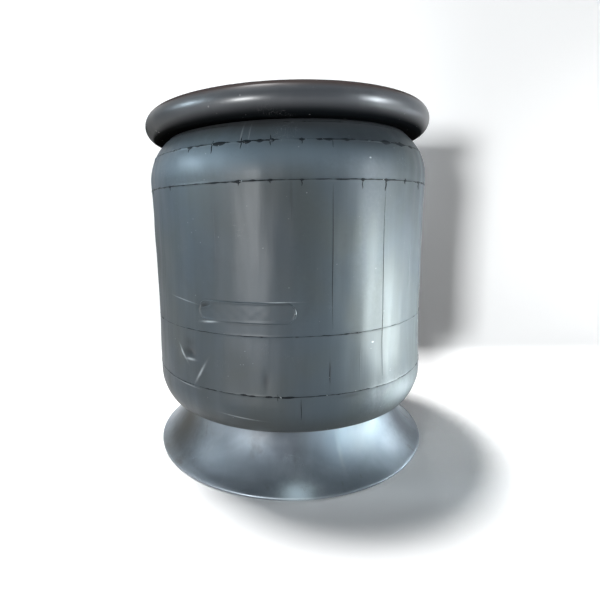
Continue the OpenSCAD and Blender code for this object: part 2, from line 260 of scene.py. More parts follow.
def turned(name, points, columns, closed=True):
    """A piece turned round the axis from its section of radius and height, as on a lathe."""
    section = points + points[:1] if closed else points
    piece = drawn(name, [(r, 0, z) for r, z in section])
    edit_all()
    bpy.ops.mesh.remove_doubles(threshold=MERGE)
    close_edit()
    lathe = piece.modifiers.new("lathe", "SCREW")
    lathe.axis = "Z"
    lathe.angle = math.tau
    lathe.steps = columns
    lathe.render_steps = columns
    lathe.use_merge_vertices = True
    lathe.merge_threshold = MERGE
    bpy.ops.object.modifier_apply(modifier=lathe.name)
    return smoothed(piece)


def points_of(piece):
    places = np.empty(len(piece.data.vertices) * 3)
    piece.data.vertices.foreach_get("co", places)
    return places.reshape(-1, 3)


def set_points(piece, places):
    piece.data.vertices.foreach_set("co", np.ascontiguousarray(places).ravel())
    piece.data.update()


def round_places(piece):
    """Each point's turn from the front in degrees, its height and its radius."""
    places = points_of(piece)
    turn = np.degrees(np.arctan2(places[:, 0], -places[:, 1]))
    return turn, places[:, 2], np.hypot(places[:, 0], places[:, 1])


def set_round(piece, turn, z, radius):
    """Puts each point at a turn from the front, a height and a radius."""
    a = np.radians(turn)
    set_points(piece, np.stack([radius * np.sin(a), -radius * np.cos(a), z], 1))


def keep_place(piece):
    """Stores where each point is at rest, so that a pattern follows the rubber when it moves."""
    store = piece.data.attributes.new("rest_place", "FLOAT_VECTOR", "POINT")
    store.data.foreach_set("vector", points_of(piece).astype(np.float32).ravel())


def ripple(turn, z, waves):
    """A smooth unevenness round the axis: waves are (share, turns, rises per metre, phase)."""
    total = 0
    for share, turns, rises, phase in waves:
        total = total + share * np.sin(np.radians(turn) * turns + z * rises * math.tau + phase)
    return total


def hollow(turn, z, at_turn, at_z, wide, tall):
    """A soft round patch, 1 at its middle: wide in degrees, tall in metres."""
    away = (turn - at_turn + 180) % 360 - 180
    return np.exp(-((away / wide) ** 2) - ((z - at_z) / tall) ** 2)


def joined(name, pieces):
    """Makes one piece of several."""
    deselect()
    for piece in pieces:
        piece.select_set(True)
    bpy.context.view_layer.objects.active = pieces[0]
    bpy.ops.object.join()
    return named(name)


def modified(piece, kind, **settings):
    """Adds a modifier with its settings and applies it."""
    only(piece)
    change = piece.modifiers.new(kind.lower(), kind)
    for setting, value in settings.items():
        setattr(change, setting, value)
    bpy.ops.object.modifier_apply(modifier=change.name)


# Materials


def join(value, socket):
    """Links an output to a socket, or writes a plain value on it."""
    if isinstance(value, bpy.types.NodeSocket):
        socket.id_data.links.new(value, socket)
    elif isinstance(value, tuple) and len(value) == 3 and socket.type == "RGBA":
        socket.default_value = (*value, 1)
    else:
        socket.default_value = value


def set_all(sockets, **values):
    """Sets inputs by their names; an underscore stands for a space."""
    for title, value in values.items():
        join(value, sockets[title.replace("_", " ")])


def beside(socket, kind):
    """A new node in the tree that a socket belongs to."""
    return socket.id_data.nodes.new(kind)


def sums(operation, first, second=0):
    """One step of arithmetic, with another node's output on at least one side."""
    made = beside(first if isinstance(first, bpy.types.NodeSocket) else second, "ShaderNodeMath")
    made.operation = operation
    join(first, made.inputs[0])
    join(second, made.inputs[1])
    return made.outputs[0]


def plus(first, second):
    return sums("ADD", first, second)


def minus(first, second):
    return sums("SUBTRACT", first, second)


def times(first, second):
    return sums("MULTIPLY", first, second)


def strongest(masks):
    """The highest of several masks."""
    total = masks[0]
    for mask in masks[1:]:
        total = sums("MAXIMUM", total, mask)
    return total


def noise_of(place, scale, detail=3, rough=0.5, twist=0):
    made = beside(place, "ShaderNodeTexNoise")
    set_all(made.inputs, Vector=place, Scale=scale, Detail=detail, Roughness=rough, Distortion=twist)
    return made.outputs["Fac"]


def between(value, low, high, to_low=0, to_high=1):
    """Spreads a value from one range to another, and holds it there."""
    made = beside(value, "ShaderNodeMapRange")
    made.interpolation_type = "SMOOTHSTEP"
    for socket, number in zip(made.inputs[:5], (value, low, high, to_low, to_high)):
        join(number, socket)
    return made.outputs[0]


def mixed(mask, low, high):
    """One colour where a mask is 0 and another where it is 1."""
    made = beside(mask, "ShaderNodeMix")
    made.data_type = "RGBA"
    join(mask, made.inputs[0])
    join(low, made.inputs[6])
    join(high, made.inputs[7])
    return made.outputs[2]


def stretched(place, scale, turn=(0, 0, 0)):
    made = beside(place, "ShaderNodeMapping")
    join(place, made.inputs["Vector"])
    made.inputs["Scale"].default_value = scale
    made.inputs["Rotation"].default_value = turn
    return made.outputs[0]


def laid_over(share, colour, mask, tone):
    """Lays a share of a tone over a colour where a mask is 1."""
    return mixed(times(mask, share), colour, tone)


def bumped(height, distance, strength=1, under=None):
    made = beside(height, "ShaderNodeBump")
    set_all(made.inputs, Strength=strength, Distance=distance, Height=height)
    if under is not None:
        join(under, made.inputs["Normal"])
    return made.outputs[0]


def effect(name, inputs, outputs):
    """A shader node group: its tree, its inputs by name, and its output sockets by name."""
    tree = bpy.data.node_groups.new(name, "ShaderNodeTree")
    for title, value in inputs.items():
        kind = "NodeSocketVector" if isinstance(value, tuple) else "NodeSocketFloat"
        tree.interface.new_socket(name=title, in_out="INPUT", socket_type=kind).default_value = value
    for title in outputs:
        tree.interface.new_socket(name=title, in_out="OUTPUT", socket_type="NodeSocketFloat")
    start = tree.nodes.new("NodeGroupInput")
    end = tree.nodes.new("NodeGroupOutput")
    return tree, start.outputs, end.inputs


def used(group, **values):
    """Places a shared effect beside the output that is its first value, and sets its inputs."""
    made = beside(next(iter(values.values())), "ShaderNodeGroup")
    made.node_tree = group
    set_all(made.inputs, **values)
    return made.outputs


def round_effect():
    """Turn from the front in degrees, height in millimetres."""
    tree, start, end = effect("round place", {"Place": (0, 0, 0)}, ["Turn", "Height"])
    parts = tree.nodes.new("ShaderNodeSeparateXYZ")
    join(start["Place"], parts.inputs[0])
    turn = sums("ARCTAN2", parts.outputs["X"], times(parts.outputs["Y"], -1))
    set_all(end, Turn=sums("DEGREES", turn), Height=times(parts.outputs["Z"], 1 / MM))
    return tree


def patch_effect():
    """A soft patch at a turn and a height, ragged by a noise."""
    sizes = {"At turn": 0, "At height": 0, "Wide": 5, "Tall": 5, "Lean": 0.0}
    tree, start, end = effect("soft patch", {"Turn": 0, "Height": 0, **sizes, "Noise": 0.5}, ["Mask"])
    across = minus(start["Turn"], start["At turn"])
    up = minus(start["Height"], start["At height"])
    up = minus(up, times(across, start["Lean"]))
    across, up = [
        sums("POWER", sums("ABSOLUTE", sums("DIVIDE", away, start[size])), 2)
        for away, size in ((across, "Wide"), (up, "Tall"))
    ]
    ragged = times(plus(start["Noise"], 0.5), plus(across, up))
    join(sums("EXPONENT", times(ragged, -1)), end["Mask"])
    return tree


def line_effect():
    """A thin mark round the axis at a height."""
    tree, start, end = effect("round line", {"Height": 0, "At height": 0, "Wide": 1.0}, ["Mask"])
    up = sums("DIVIDE", minus(start["Height"], start["At height"]), start["Wide"])
    join(sums("EXPONENT", times(times(up, up), -1)), end["Mask"])
    return tree


def grain_effect():
    """Fine moulded or sprayed grain as a height, and a slower cloud as a mask."""
    tree, start, end = effect("grain", {"Place": (0, 0, 0), "Fineness": 1.0}, ["Grain", "Cloud"])
    scaled = tree.nodes.new("ShaderNodeVectorMath")
    scaled.operation = "SCALE"
    join(start["Place"], scaled.inputs[0])
    join(start["Fineness"], scaled.inputs["Scale"])
    join(noise_of(scaled.outputs[0], 2600, 2, 0.6), end["Grain"])
    join(noise_of(scaled.outputs[0], 28, 5, 0.6, 0.4), end["Cloud"])
    return tree


def scratch_effect():
    """Thin scratches that run mostly one way."""
    tree, start, end = effect("scratches", {"Place": (0, 0, 0), "Share": 0.5}, ["Mask"])
    total = 0.0
    for scale, turn in [((60, 60, 9), 0.25), ((20, 20, 110), -0.4), ((90, 90, 30), 1)]:
        lines = noise_of(stretched(start["Place"], scale, (turn, turn / 2, 0)), 3, 2, 0.5, 0.3)
        off = sums("ABSOLUTE", minus(lines, 0.5))
        total = plus(total, between(off, 0, 0.006, 1, 0))
    where = between(noise_of(start["Place"], 34, 2), 0.62, 0.74)
    join(times(times(total, where), start["Share"]), end["Mask"])
    return tree


def dust_effect():
    """Small pale specks."""
    tree, start, end = effect("specks", {"Place": (0, 0, 0), "Size": 0.2}, ["Mask"])
    cells = tree.nodes.new("ShaderNodeTexVoronoi")
    cells.inputs["Scale"].default_value = 260
    join(start["Place"], cells.inputs["Vector"])
    dots = between(sums("DIVIDE", cells.outputs["Distance"], start["Size"]), 0.5, 1, 1, 0)
    some = between(noise_of(start["Place"], 90, 2), 0.58, 0.66)
    join(times(dots, some), end["Mask"])
    return tree


ROUND = round_effect()
PATCH = patch_effect()
LINE = line_effect()
GRAIN = grain_effect()
SCRATCHES = scratch_effect()
SPECKS = dust_effect()


def finish_of(name, follows=False):
    """A new material, its shader's inputs and the place that its patterns read."""
    made = bpy.data.materials.new(name)
    made.use_nodes = True
    tree = made.node_tree
    if follows:
        source = tree.nodes.new("ShaderNodeAttribute")
        source.attribute_name = "rest_place"
        place = source.outputs["Vector"]
    else:
        place = tree.nodes.new("ShaderNodeTexCoord").outputs["Object"]
    return made, tree.nodes["Principled BSDF"].inputs, place


def patch(where, at_turn, at_height, wide, tall, lean=0):
    """Mask of a soft patch; where holds the turn, the height and the noise that frays its edge."""
    turn, height, noise = where
    return used(
        PATCH, Turn=turn, Height=height, At_turn=at_turn, At_height=at_height,
        Wide=wide, Tall=tall, Lean=lean, Noise=noise,
    )["Mask"]


def marked(colour, where, marks):
    """Lays marks over a colour: turn, height, wide in degrees, tall in millimetres, lean, share, tone."""
    for *place, share, tone in marks:
        colour = laid_over(share, colour, patch(where, *place), tone)
    return colour


RUBBER_TONE = (0.037, 0.049, 0.060)
RUBBER_WARM = (0.038, 0.046, 0.048)
RUBBER_PALE = (0.060, 0.077, 0.091)
RUBBER_DARK = (0.008, 0.010, 0.012)
RUBBER_SCUFF_AND_HIGHLIGHT = (0.34, 0.37, 0.385)
# Marks on the sleeve: turn, height, wide in degrees, tall in millimetres, lean, share. Among the dark ones
# are painted shade over the far left side and the middle of the wall, under the rim's right side, in the
# pad's torn hole and along the pad's top and bottom edges; the pale ones are scuffs and scratches, with
# painted highlights along the pad's top edge and at its lower left corner.
DARK_MARKS_AND_PAINTED_SHADE = [
    (-39, 99.6, 3.2, 3.6, 0, 0.75), (-38.6, 106.5, 3, 3.5, 0, 0.45), (1.5, 205, 0.45, 11, 0, 0.45),
    # Painted shade: (-76, 165) darkens the far left side of the wall.
    (14, 91, 0.30, 8, 0, 0.6), (-76, 165, 20, 95, 0, 0.5), (-7.5, 86, 1.1, 6, 0, 0.5),
    # Painted shade: (30, 242) darkens the wall under the rim's right side.
    (30, 242, 24, 7, 0, 0.75), (-24.5, 185, 1.6, 30, 0, 0.22), (9, 165, 7, 34, 0, 0.2),
    # Painted shade: (-6, 190) darkens the middle of the wall; (-30.8, 135.2) darkens the pad's torn hole.
    (22, 73, 4, 1.2, 0, 0.5), (-6, 190, 13, 60, 0, 0.4), (-30.8, 135.2, 2.4, 2.2, 0.5, 0.95),
    # Painted shade along the pad's top and bottom edges.
    (-2.8, 138.4, 4.2, 0.6, 0, 0.55), (-12.5, 124.3, 7, 0.6, 0, 0.55),
]
PALE_MARKS_AND_HIGHLIGHTS = [
    (-42.8, 97.4, 1.7, 1.2, -2.2, 0.8), (-38.6, 94.2, 2.2, 0.8, 0.1, 0.8),
    # Painted highlights: (-28.3, 124.5) at the pad's lower left corner and (-3.4, 139.7) along its top edge.
    (-33.2, 86.4, 2.1, 1.5, 2.9, 0.7), (-28.3, 124.5, 2.8, 0.7, 0.2, 0.8), (-3.4, 139.7, 4.6, 0.3, 0, 0.7),
    (-41.5, 137.4, 5, 0.35, -0.24, 0.5), (-45.5, 240, 0.6, 0.6, 0, 0.9), (28.2, 229.3, 0.35, 0.4, 0, 0.9),
    (30.8, 108.3, 0.4, 0.4, 0, 0.8), (-17, 57.9, 5.4, 0.45, -0.16, 0.5), (-15, 244.5, 0.25, 6, 0, 0.2),
    (-12.2, 245, 0.2, 6, 0, 0.15), (-40.4, 74.2, 4.2, 0.35, -0.08, 0.5), (30, 172, 4, 30, 0, 0.2),
    (47, 65, 12, 10, 0, 0.5),
]


def rubber_finish(name):
    """Grey moulded rubber with soft bands, mould marks and scuffs, darker towards the lobe's bottom, and
    painted light: shade under the rim and over parts of the wall and the pad, a highlight on the shoulder,
    and highlights along the pad's edges.
    """
    made, shader, place = finish_of(name, follows=True)
    turn, height = used(ROUND, Place=place)
    cloud = noise_of(place, 13, 4, 0.55, 0.6)
    fine = used(GRAIN, Place=place, Fineness=1)
    bands = noise_of(stretched(place, (38, 38, 5)), 1, 3, 0.6, 0.5)
    where = (turn, height, noise_of(place, 420, 2, 0.6))
    lobe_bottom_tone, under_rim_painted_shade, shoulder_painted_highlight_tone = (0.042, 0.040, 0.034), (0.026, 0.025, 0.025), (0.105, 0.140, 0.170)
    colour = mixed(between(cloud, 0.34, 0.66), RUBBER_WARM, RUBBER_TONE)
    colour = mixed(between(bands, 0.42, 0.74, 0, 0.34), colour, RUBBER_PALE)
    colour = mixed(between(fine["Cloud"], 0.25, 0.5, 0.2, 0), colour, RUBBER_DARK)
    # Darker towards the bottom of the lobe.
    colour = mixed(between(height, 44, 66, 0.55, 0), colour, lobe_bottom_tone)
    # Painted shade: the sleeve is darker just under the rim, where the rim's shadow falls.
    colour = mixed(between(height, 240, 252, 0, 0.7), colour, under_rim_painted_shade)
    # Painted highlight: a pale blue patch across the front of the shoulder.
    colour = laid_over(0.75, colour, patch(where, -18, 231, 34, 10), shoulder_painted_highlight_tone)
    # Dark marks, several of them painted shade.
    colour = marked(colour, where, [(*mark, RUBBER_DARK) for mark in DARK_MARKS_AND_PAINTED_SHADE])
    # Pale marks: scuffs and scratches, and painted highlights at the pad's edges.
    colour = marked(colour, where, [(*mark, RUBBER_SCUFF_AND_HIGHLIGHT) for mark in PALE_MARKS_AND_HIGHLIGHTS])
    scratches = used(SCRATCHES, Place=place, Share=0.2)["Mask"]
    colour = mixed(scratches, colour, (0.24, 0.26, 0.27))
    dust = used(SPECKS, Place=place, Size=0.13)["Mask"]
    side = patch((turn, height, 0.5), -76, 150, 20, 130)
    rough = between(bands, 0.3, 0.7, 0.5, 0.4)
    wave = noise_of(stretched(place, (120, 120, 14)), 1, 3, 0.6)
    normal = bumped(wave, 0.25 * MM, 0.6)
    normal = bumped(fine["Grain"], 0.03 * MM, 0.5, normal)
    set_all(
        shader,
        Base_Color=laid_over(0.35, colour, dust, (0.3, 0.32, 0.33)),
        Specular_IOR_Level=between(side, 0, 1, 0.32, 0.04),
        Roughness=plus(rough, times(fine["Grain"], 0.06)),
        Normal=bumped(scratches, -0.05 * MM, 0.6, normal),
    )
    return made


def seam_finish():
    """The torn flash along a mould line: near-black painted shade that stands for the shadow under the lifted
    flash and in its tears, with stretches that kept the sleeve's grey.
    """
    made, shader, place = finish_of("mould_line_painted_shade", follows=True)
    broken = between(noise_of(place, 62, 4, 0.7), 0.58, 0.68)
    # Painted shade: the near-black stands for the shadow under the flash.
    colour = mixed(broken, (0.005, 0.007, 0.009), (0.05, 0.06, 0.068))
    chips = between(noise_of(place, 260, 3, 0.7), 0.66, 0.72)
    set_all(
        shader,
        Base_Color=mixed(chips, colour, (0.26, 0.28, 0.29)),
        Roughness=0.6,
        Specular_IOR_Level=0.12,
        Normal=bumped(noise_of(place, 1500, 3), 0.1 * MM, 0.6),
    )
    return made


def paint_finish():
    """Dark baked paint on the rolled rim, with painted light: a brown crown that stands for a dark reflection
    along its top, painted black shade under the roll and painted shade at its far sides, all three matt.
    """
    made, shader, place = finish_of("rim_paint")
    turn, height = used(ROUND, Place=place)
    where = (turn, height, noise_of(place, 30, 2, 0.5))
    fine = used(GRAIN, Place=place, Fineness=0.8)
    cloud = noise_of(place, 20, 4, 0.6, 0.5)
    # Painted reflection: the brown crown stands for a dark reflection along the rim's top, and loses its
    # gloss.
    crown = between(height, 267.8, 271.2)
    # Painted shade: black under the roll.
    under = between(height, 262.5, 255)
    # Painted shade: the rim's far left and right sides are darkened.
    ends = strongest([patch(where, -70, 262, 30, 30), patch(where, 88, 262, 22, 30)])
    colour = mixed(between(cloud, 0.35, 0.65), (0.046, 0.049, 0.054), (0.068, 0.069, 0.073))
    for share, mask, tone in (
        (0.8, crown, (0.040, 0.029, 0.026)),
        (0.95, under, (0.004, 0.005, 0.006)),
        (0.9, ends, (0.014, 0.013, 0.012)),
    ):
        colour = laid_over(share, colour, mask, tone)
    colour = mixed(between(fine["Cloud"], 0.6, 0.8, 0, 0.15), colour, (0.09, 0.085, 0.08))
    scratches = used(SCRATCHES, Place=place, Share=0.5)["Mask"]
    colour = mixed(scratches, colour, (0.16, 0.15, 0.145))
    dust = used(SPECKS, Place=place, Size=0.2)["Mask"]
    gloss = minus(1, strongest([crown, under, ends]))
    rough = between(cloud, 0.3, 0.7, 0.30, 0.42)
    normal = bumped(noise_of(place, 160, 2, 0.5), 0.12 * MM, 0.35)
    set_all(
        shader,
        Base_Color=laid_over(0.5, colour, dust, (0.3, 0.29, 0.28)),
        Roughness=plus(rough, times(scratches, 0.3)),
        Normal=bumped(fine["Grain"], 0.015 * MM, 0.5, normal),
        Specular_IOR_Level=times(gloss, 0.4),
        Coat_Weight=times(gloss, 0.12),
        Coat_Roughness=0.24,
    )
    return made


# Marks on the skirt: a stain, painted shade at its far sides, a pale streak, painted dark reflections over
# its upper middle and right, and a painted pale-blue reflection: turn, height, wide in degrees, tall in
# millimetres, lean, share, tone
SKIRT_STAINS_AND_PAINTED_REFLECTIONS = [
    (52, 42, 5, 7, 0, 0.6, (0.10, 0.16, 0.15)),
    # Painted shade: this and the next darken the skirt's far left and right sides.
    (-63, 25, 17, 34, 0, 0.95, (0.028, 0.027, 0.021)),
    (70, 24, 13, 30, 0, 0.9, (0.022, 0.030, 0.046)),
    (22, 27, 0.9, 12, 0, 0.55, (0.40, 0.43, 0.44)),
    # Painted dark reflections: this and the next two darken the upper middle and right of the skirt.
    (-4, 42, 15, 14, 0, 0.94, (0.028, 0.034, 0.044)),
    (-2, 27, 9, 7, 0, 0.6, (0.050, 0.058, 0.074)),
    (35, 42, 7, 9, 0, 0.85, (0.060, 0.078, 0.098)),
    # Painted reflection: a pale-blue patch on the right of the skirt.
    (19, 32, 9, 16, 0, 0.6, (0.36, 0.46, 0.56)),
]
# Places where the skirt's coat is dull: turn, height, wide in degrees, tall in millimetres, share
SKIRT_DULL = [
    (-14, 42, 11, 16, 0.9),
    (35, 42, 8, 16, 0.75),
    (-66, 24, 18, 34, 0.95),
    (76, 24, 15, 34, 0.95),
]


def coat_finish():
    """Glossy dark steel-blue dip coat on the piston, with stains, runs, a pale streak and scratches, and
    painted light: shade at its far sides, dark reflections over its middle, a pale-blue reflection, and
    highlights on the lip and along the hem.
    """
    made, shader, place = finish_of("piston_coat")
    turn, height = used(ROUND, Place=place)
    cloud = noise_of(place, 16, 4, 0.6, 0.7)
    runs = noise_of(stretched(place, (46, 46, 12)), 1, 4, 0.6, 0.8)
    where = (turn, height, noise_of(place, 240, 3, 0.6))
    scratch_and_glint_tone, lip_highlight_tone = (0.30, 0.33, 0.36), (0.50, 0.62, 0.68)
    colour = mixed(between(cloud, 0.35, 0.65), (0.150, 0.182, 0.214), (0.215, 0.252, 0.285))
    colour = mixed(between(runs, 0.55, 0.75, 0, 0.4), colour, (0.26, 0.29, 0.31))
    colour = mixed(between(runs, 0.42, 0.28, 0, 0.5), colour, (0.060, 0.058, 0.046))
    # Stains, painted shade and painted reflections.
    colour = marked(colour, where, SKIRT_STAINS_AND_PAINTED_REFLECTIONS)
    # Painted highlight: a pale glow on the skirt's lip at the front, where the coat is also less metallic.
    lip_painted_highlight = patch(where, 2.5, 3.4, 6, 5.2)
    colour = mixed(lip_painted_highlight, colour, lip_highlight_tone)
    # Painted highlight: a pale line along the skirt's hem.
    hem = used(LINE, Height=height, At_height=1.2, Wide=1.4)["Mask"]
    colour = laid_over(0.55, colour, hem, scratch_and_glint_tone)
    scratches = used(SCRATCHES, Place=place, Share=0.6)["Mask"]
    dull = strongest([times(patch(where, *spot), share) for *spot, share in SKIRT_DULL])
    bright = minus(1, dull)
    rough = plus(between(runs, 0.25, 0.7, 0.42, 0.54), times(dull, 0.12))
    normal = bumped(noise_of(stretched(place, (60, 60, 20)), 1, 2, 0.5), 0.5 * MM, 0.5)
    set_all(
        shader,
        Base_Color=mixed(scratches, colour, scratch_and_glint_tone),
        Metallic=times(between(lip_painted_highlight, 0, 1, 0.7, 0.15), bright),
        Roughness=plus(rough, times(scratches, 0.3)),
        Normal=bumped(noise_of(place, 900, 2, 0.6), 0.02 * MM, 0.5, normal),
        Coat_Weight=times(bright, 0.2),
        Coat_Roughness=0.28,
    )
    return made


def plain_rubber_finish(name, follows):
    """Black rubber, matt, with a faint bloom and pale specks."""
    made, shader, place = finish_of(name, follows)
    fine = used(GRAIN, Place=place, Fineness=0.7)
    black, bloom = (0.018, 0.018, 0.019), (0.045, 0.046, 0.048)
    colour = mixed(between(fine["Cloud"], 0.45, 0.75), black, bloom)
    dust = used(SPECKS, Place=place, Size=0.18)["Mask"]
    set_all(
        shader,
        Base_Color=mixed(dust, colour, (0.14, 0.14, 0.14)),
        Roughness=between(fine["Cloud"], 0.3, 0.7, 0.5, 0.75),
        Normal=bumped(fine["Grain"], 0.04 * MM, 0.6),
    )
    return made


def metal_finish(name, low, high, stain, rough):
    """Bare or plated steel with drawn streaks, stains and scratches."""
    made, shader, place = finish_of(name)
    fine = used(GRAIN, Place=place, Fineness=0.9)
    streaks = noise_of(stretched(place, (30, 30, 420)), 1, 3, 0.6)
    colour = mixed(between(streaks, 0.35, 0.65), low, high)
    colour = mixed(between(fine["Cloud"], 0.52, 0.72, 0, 0.7), colour, stain)
    scratches = used(SCRATCHES, Place=place, Share=0.8)["Mask"]
    set_all(
        shader,
        Base_Color=mixed(scratches, colour, high),
        Metallic=between(fine["Cloud"], 0.5, 0.75, 1, 0.55),
        Roughness=between(fine["Cloud"], 0.35, 0.7, rough, rough + 0.25),
        Normal=bumped(fine["Grain"], 0.02 * MM, 0.5, bumped(streaks, 0.03 * MM, 0.5)),
    )
    return made


def cord_finish(name, lean):
    """Rubber-soaked cords laid at an angle round the sleeve."""
    made, shader, place = finish_of(name, follows=True)
    turn, height = used(ROUND, Place=place)
    run = plus(times(turn, 1.85), times(height, lean))
    cords = sums("SINE", times(run, 4))
    fine = used(GRAIN, Place=place, Fineness=1)
    colour = mixed(between(cords, -0.6, 0.6), (0.11, 0.09, 0.06), (0.44, 0.37, 0.24))
    soaked = between(fine["Cloud"], 0.4, 0.7, 0, 0.5)
    set_all(
        shader,
        Base_Color=mixed(soaked, colour, (0.2, 0.17, 0.12)),
        Roughness=0.8,
        Normal=bumped(cords, 0.2 * MM, 0.8),
    )
    return made


cover_rubber = rubber_finish("sleeve_rubber")
mould_line_painted_shade = seam_finish()
rim_paint = paint_finish()
piston_coat = coat_finish()
liner_rubber = plain_rubber_finish("liner_rubber", follows=True)
bumper_rubber = plain_rubber_finish("bumper_rubber", follows=False)
zinc = metal_finish("zinc_plate", (0.46, 0.44, 0.36), (0.66, 0.64, 0.56), (0.36, 0.33, 0.22), 0.26)
steel = metal_finish("oiled_steel", (0.24, 0.25, 0.26), (0.42, 0.43, 0.44), (0.12, 0.09, 0.07), 0.34)
bead_steel = metal_finish("bead_wire", (0.38, 0.33, 0.24), (0.55, 0.48, 0.36), (0.2, 0.14, 0.08), 0.35)
cord_out = cord_finish("cord_outer", 1.9)
cord_in = cord_finish("cord_inner", -1.9)


def dressed(piece, finish):
    """Gives a piece its material."""
    piece.data.materials.clear()
    piece.data.materials.append(finish)


def laid(piece, finish, node=None):
    """Dresses a piece of the sleeve with a pattern that follows the rubber; it may stand for a node."""
    keep_place(piece)
    dressed(piece, finish)
    if node:
        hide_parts(node)


# Sleeve
COLUMNS = 600
LAYER_COLUMNS = 180
# Mould lines round the sleeve: height, and how far the rubber stands proud
RINGS = [(252, 0.10), (240, 0.22), (216, 0.16), (116.7, 0.14), (75.4, 0.16)]
# Rows of points close to a mould line, and heights of the rows through the deepest dent
RING_ROWS = (-1.6, -0.7, -0.3, 0, 0.3, 0.7, 1.6)
DENT_ROWS = (92, 94, 96, 97.5, 99, 100.5, 102, 104, 106)
# Waves in the rubber: share, rises round the axis, rises per metre, phase
SLOW_WAVES = [(1, 5, 7, 0.4), (0.7, 9, -13, 2.1), (0.5, 17, 23, 4), (0.4, 3, 31, 1.2)]
FINE_WAVES = [(1, 36, 5, 0.4), (0.8, 54, -9, 2.6)]
# Dents and swellings: turn, height, wide in degrees, tall and deep in millimetres
DENTS = [
    (-38.6, 99.2, 2.6, 2.8, -1.3),
    (-43.2, 96.6, 1.8, 3.2, 0.5),
    (-38.8, 105.5, 2.6, 2.6, -0.3),
    (-31, 91, 1, 4, 0.25),
    (-7.5, 86, 1.4, 6.5, -0.35),
    (52.5, 157, 0.9, 22, -0.25),
    (142, 121, 3, 3.4, -0.7),
    (-151, 196, 2.2, 5, -0.5),
]


def unevenness(turn, z):
    """How far the moulded face stands from the true one, apart from its mould lines."""
    out = 0.16 * MM * ripple(turn, z, SLOW_WAVES) + 0.05 * MM * ripple(turn, z, FINE_WAVES)
    for at_turn, at_z, wide, tall, deep in DENTS:
        out = out + deep * MM * hollow(turn, z, at_turn, at_z * MM, wide, tall * MM)
    return out


def face_r(turn, z):
    """Radius of the cover's moulded face."""
    return outside_r(z) + unevenness(turn, z)


def sleeve_outside(depth, fine=False):
    """The sleeve's section at a depth under its face, from the rim's lip to the lobe's lowest point."""
    top = math.degrees(SHOULDER_TURN)
    lip = arc(LIP, LIP_TURN_R + depth, 90, 180 + top, 10)
    turns = set(np.arange(0, top, 2.8 if fine else 6))
    heights = set(np.arange(LOBE_Z, SHOULDER_Z, (3.4 if fine else 12) * MM))
    if fine:
        heights |= {z * MM for z in DENT_ROWS}
        for ring, _ in RINGS:
            for step in RING_ROWS:
                z = (ring + step) * MM
                if z > SHOULDER_Z:
                    turns.add(math.degrees(math.asin(min((z - SHOULDER_Z) / SHOULDER_R, 1))))
                else:
                    heights.add(z)
    bend = SHOULDER_R - depth
    shoulder = [
        (SHOULDER_X + bend * math.cos(math.radians(a)), SHOULDER_Z + bend * math.sin(math.radians(a)))
        for a in sorted(turns, reverse=True)
        if a < top - 0.3
    ]
    wall = [(wall_r(z) - depth, z) for z in sorted(heights, reverse=True)]
    side = arc((LOBE_R - LOBE_SIDE_R, LOBE_Z), LOBE_SIDE_R - depth, 0, -LOBE_TURN, 10)[1:]
    tip = arc((LOBE_MID_R, LOBE_FLOOR + LOBE_TIP_R), LOBE_TIP_R - depth, -LOBE_TURN, -90, 8)[1:]
    return lip + shoulder + wall + side + tip


def sleeve_inside(depth):
    """The sleeve's section from the lobe's lowest point up the piston to the lower bead."""
    tip = arc((LOBE_MID_R, LOBE_FLOOR + LOBE_TIP_R), LOBE_TIP_R - depth, -90, LOBE_TURN - 180, 8)
    side = arc((LOBE_IN_R + LOBE_SIDE_R, LOBE_Z), LOBE_SIDE_R - depth, LOBE_TURN - 180, -180, 6)[1:]
    foot = side[-1][1]
    wall = [(LOBE_IN_R + depth, foot + (CROWN_MID[1] - foot) * k / 14) for k in range(1, 14)]
    crown = arc(CROWN_MID, CROWN_R + PLAY + depth, 0, 90, 9)
    return tip + side + wall + crown + [(LOW_BEAD_OUT_R, LOW_BEAD_FLOOR + depth)]


def rolls_outside(piece):
    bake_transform(piece)


def rolls_inside(piece):
    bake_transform(piece)


cover = turned("sleeve_outer_face", sleeve_outside(0, fine=True) + sleeve_outside(COVER_T)[::-1], COLUMNS)
turn, z, radius = round_places(cover)
on_face = np.clip((radius - outside_r(z) + 1.2 * MM) / (0.6 * MM), 0, 1) * (z < TOP - RIM_H - 0.5 * MM)
below_rim = np.clip((RIM_FLOOR - z) / (4 * MM), 0, 1)
above_lobe = np.clip((z - 56 * MM) / (8 * MM), 0, 1)
proud = unevenness(turn, z) * below_rim * above_lobe
for ring, height in RINGS:
    proud = proud + height * MM * np.exp(-(((z - ring * MM) / (0.6 * MM)) ** 2))
set_round(cover, turn, z, radius + proud * on_face)
laid(cover, cover_rubber, "sleeve_cover")
rolls_outside(cover)

IN_WALL = ("_in_wall", sleeve_outside, rolls_outside)
ON_PISTON = ("_on_piston", sleeve_inside, rolls_inside)
for node, near, far, finish, slot, stretches in [
    ("sleeve_cover", 0, COVER_T, cover_rubber, "cover_rubber", [ON_PISTON]),
    ("outer_ply", COVER_T, COVER_T + PLY_T, cord_out, "cord_ply", [IN_WALL, ON_PISTON]),
    ("inner_ply", COVER_T + PLY_T, COVER_T + 2 * PLY_T, cord_in, "cord_ply", [IN_WALL, ON_PISTON]),
    ("sleeve_liner", COVER_T + 2 * PLY_T, SLEEVE_T, liner_rubber, "liner_rubber", [IN_WALL, ON_PISTON]),
]:
    for ending, section, rolls in stretches:
        layer = turned(node + ending, section(near) + section(far)[::-1], LAYER_COLUMNS)
        laid(layer, finish, node)
        rolls(layer)


